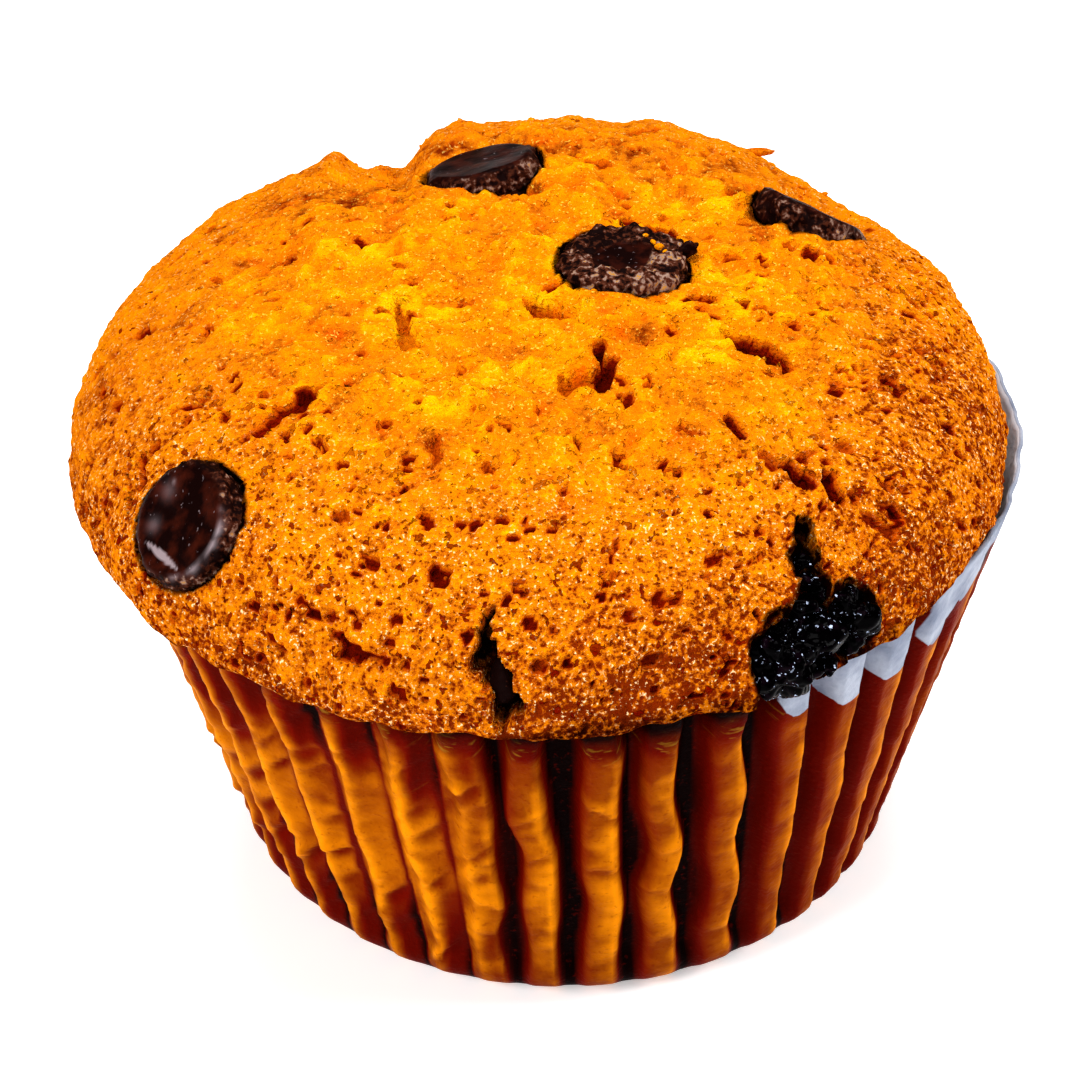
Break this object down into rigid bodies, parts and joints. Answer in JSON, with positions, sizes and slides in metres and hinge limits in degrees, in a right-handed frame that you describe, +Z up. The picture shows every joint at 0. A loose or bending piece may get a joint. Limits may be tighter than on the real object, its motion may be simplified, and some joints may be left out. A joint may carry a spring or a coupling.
{
  "type": "muffin",
  "caption": "Domed muffin baked in a fluted paper case, its crown spread over the rim, with chocolate drops and burst berries.",
  "frame": {"origin": "middle of the paper case's flat base", "axes": "+Z up through the crown, -Y towards the side with the crack and the burst berries, +X to the right seen from there"},
  "size_m": [0.0804, 0.083, 0.0586],
  "materials": {
    "cake_crust": "baked crust, golden yellow in the middle to brown at the edge",
    "greased_paper": "thin baking paper soaked with fat",
    "dark_chocolate": "dark chocolate, smooth and half glossy",
    "berry_skin": "wet burst berry skin, nearly black"
  },
  "bodies": {
    "root": {"cake": "cake_crust", "paper_case": "greased_paper", "chocolate_drop_left": "dark_chocolate", "chocolate_drop_back": "dark_chocolate", "chocolate_drop_centre": "dark_chocolate", "chocolate_drop_right": "dark_chocolate", "chocolate_in_crack": "dark_chocolate", "berry_front": "berry_skin", "berry_side": "berry_skin"}
  },
  "joints": []
}
